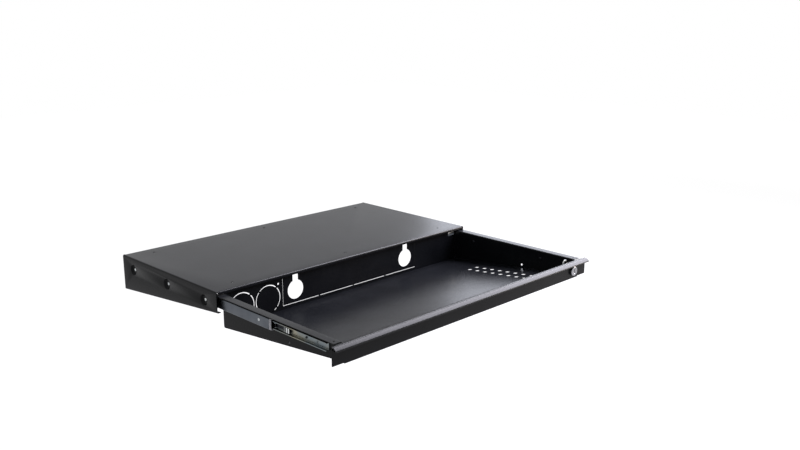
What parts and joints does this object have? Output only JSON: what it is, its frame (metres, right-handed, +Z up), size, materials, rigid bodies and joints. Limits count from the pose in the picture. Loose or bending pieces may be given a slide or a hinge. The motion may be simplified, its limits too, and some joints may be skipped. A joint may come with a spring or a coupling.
{
  "type": "under desk drawer safe",
  "caption": "Shallow wedge-shaped steel drawer on telescopic ball slides in a housing that screws under a table, with a cam lock, cable ports and vent holes.",
  "frame": {"origin": "centre of the housing's flat top face, which lies against the table's underside", "axes": "+X to the user's right along the front panel, +Y to the rear, +Z up into the table"},
  "size_m": [0.71, 0.699, 0.0767],
  "materials": {
    "powder_coat": "fine-textured black powder coat",
    "zinc_plate": "bright zinc plate",
    "dark_zinc": "dark zinc plate",
    "lock_nickel": "polished nickel",
    "bumper_plastic": "moulded grey plastic",
    "ball_steel": "ground steel balls in a bright cage"
  },
  "bodies": {
    "housing": {"housing_shell": "powder_coat", "lock_striker": "zinc_plate", "slide_cabinet_left": "dark_zinc", "slide_cabinet_right": "dark_zinc", "cabinet_rivet_left_1": "zinc_plate", "cabinet_rivet_left_2": "zinc_plate", "cabinet_rivet_left_3": "zinc_plate", "cabinet_rivet_right_1": "zinc_plate", "cabinet_rivet_right_2": "zinc_plate", "cabinet_rivet_right_3": "zinc_plate"},
    "slide_mid_left": {"slide_mid_left": "dark_zinc", "mid_bumper_left": "bumper_plastic", "mid_rivet_left": "zinc_plate"},
    "slide_mid_right": {"slide_mid_right": "dark_zinc", "mid_bumper_right": "bumper_plastic", "mid_rivet_right": "zinc_plate"},
    "cage_outer_left": {"ball_cage_outer_left": "ball_steel"},
    "cage_outer_right": {"ball_cage_outer_right": "ball_steel"},
    "cage_inner_left": {"ball_cage_inner_left": "ball_steel"},
    "cage_inner_right": {"ball_cage_inner_right": "ball_steel"},
    "drawer": {"tray_floor": "powder_coat", "side_wall_left": "powder_coat", "side_wall_right": "powder_coat", "tray_rear_wall": "powder_coat", "front_panel": "powder_coat", "grip_rail": "powder_coat", "slide_drawer_left": "zinc_plate", "slide_drawer_right": "zinc_plate", "release_lever_left": "zinc_plate", "release_lever_right": "zinc_plate", "slide_screw_left_1": "zinc_plate", "slide_screw_left_2": "zinc_plate", "slide_screw_right_1": "zinc_plate", "slide_screw_right_2": "zinc_plate", "corner_rivet_rear_left": "powder_coat", "corner_rivet_rear_right": "powder_coat", "corner_rivet_side_left": "powder_coat", "corner_rivet_side_right": "powder_coat", "lock_barrel": "lock_nickel", "lock_nut": "zinc_plate"},
    "lock_cylinder": {"lock_plug": "lock_nickel", "lock_cam": "zinc_plate", "lock_cam_screw": "zinc_plate"}
  },
  "joints": [
    {"name": "drawer_slide", "type": "slide", "parent": "housing", "child": "drawer", "axis": [0, -1, 0], "range_m": [-0.333, 0]},
    {"name": "mid_slide_left", "type": "slide", "parent": "housing", "child": "slide_mid_left", "axis": [0, -1, 0], "range_m": [-0.1665, 0]},
    {"name": "mid_slide_right", "type": "slide", "parent": "housing", "child": "slide_mid_right", "axis": [0, -1, 0], "range_m": [-0.1665, 0]},
    {"name": "outer_cage_roll_left", "type": "slide", "parent": "housing", "child": "cage_outer_left", "axis": [0, -1, 0], "range_m": [-0.08325, 0]},
    {"name": "outer_cage_roll_right", "type": "slide", "parent": "housing", "child": "cage_outer_right", "axis": [0, -1, 0], "range_m": [-0.08325, 0]},
    {"name": "inner_cage_roll_left", "type": "slide", "parent": "housing", "child": "cage_inner_left", "axis": [0, -1, 0], "range_m": [-0.24975, 0]},
    {"name": "inner_cage_roll_right", "type": "slide", "parent": "housing", "child": "cage_inner_right", "axis": [0, -1, 0], "range_m": [-0.24975, 0]},
    {"name": "lock_turn", "type": "hinge", "parent": "drawer", "child": "lock_cylinder", "pos_m": [0.311, -0.4963, -0.0277], "axis": [0, -1, 0], "range_deg": [0, 90]}
  ],
  "couplings": [
    {"joint": "mid_slide_left", "follows": "drawer_slide", "ratio": 0.5},
    {"joint": "mid_slide_right", "follows": "drawer_slide", "ratio": 0.5},
    {"joint": "outer_cage_roll_left", "follows": "drawer_slide", "ratio": 0.25},
    {"joint": "outer_cage_roll_right", "follows": "drawer_slide", "ratio": 0.25},
    {"joint": "inner_cage_roll_left", "follows": "drawer_slide", "ratio": 0.75},
    {"joint": "inner_cage_roll_right", "follows": "drawer_slide", "ratio": 0.75}
  ]
}
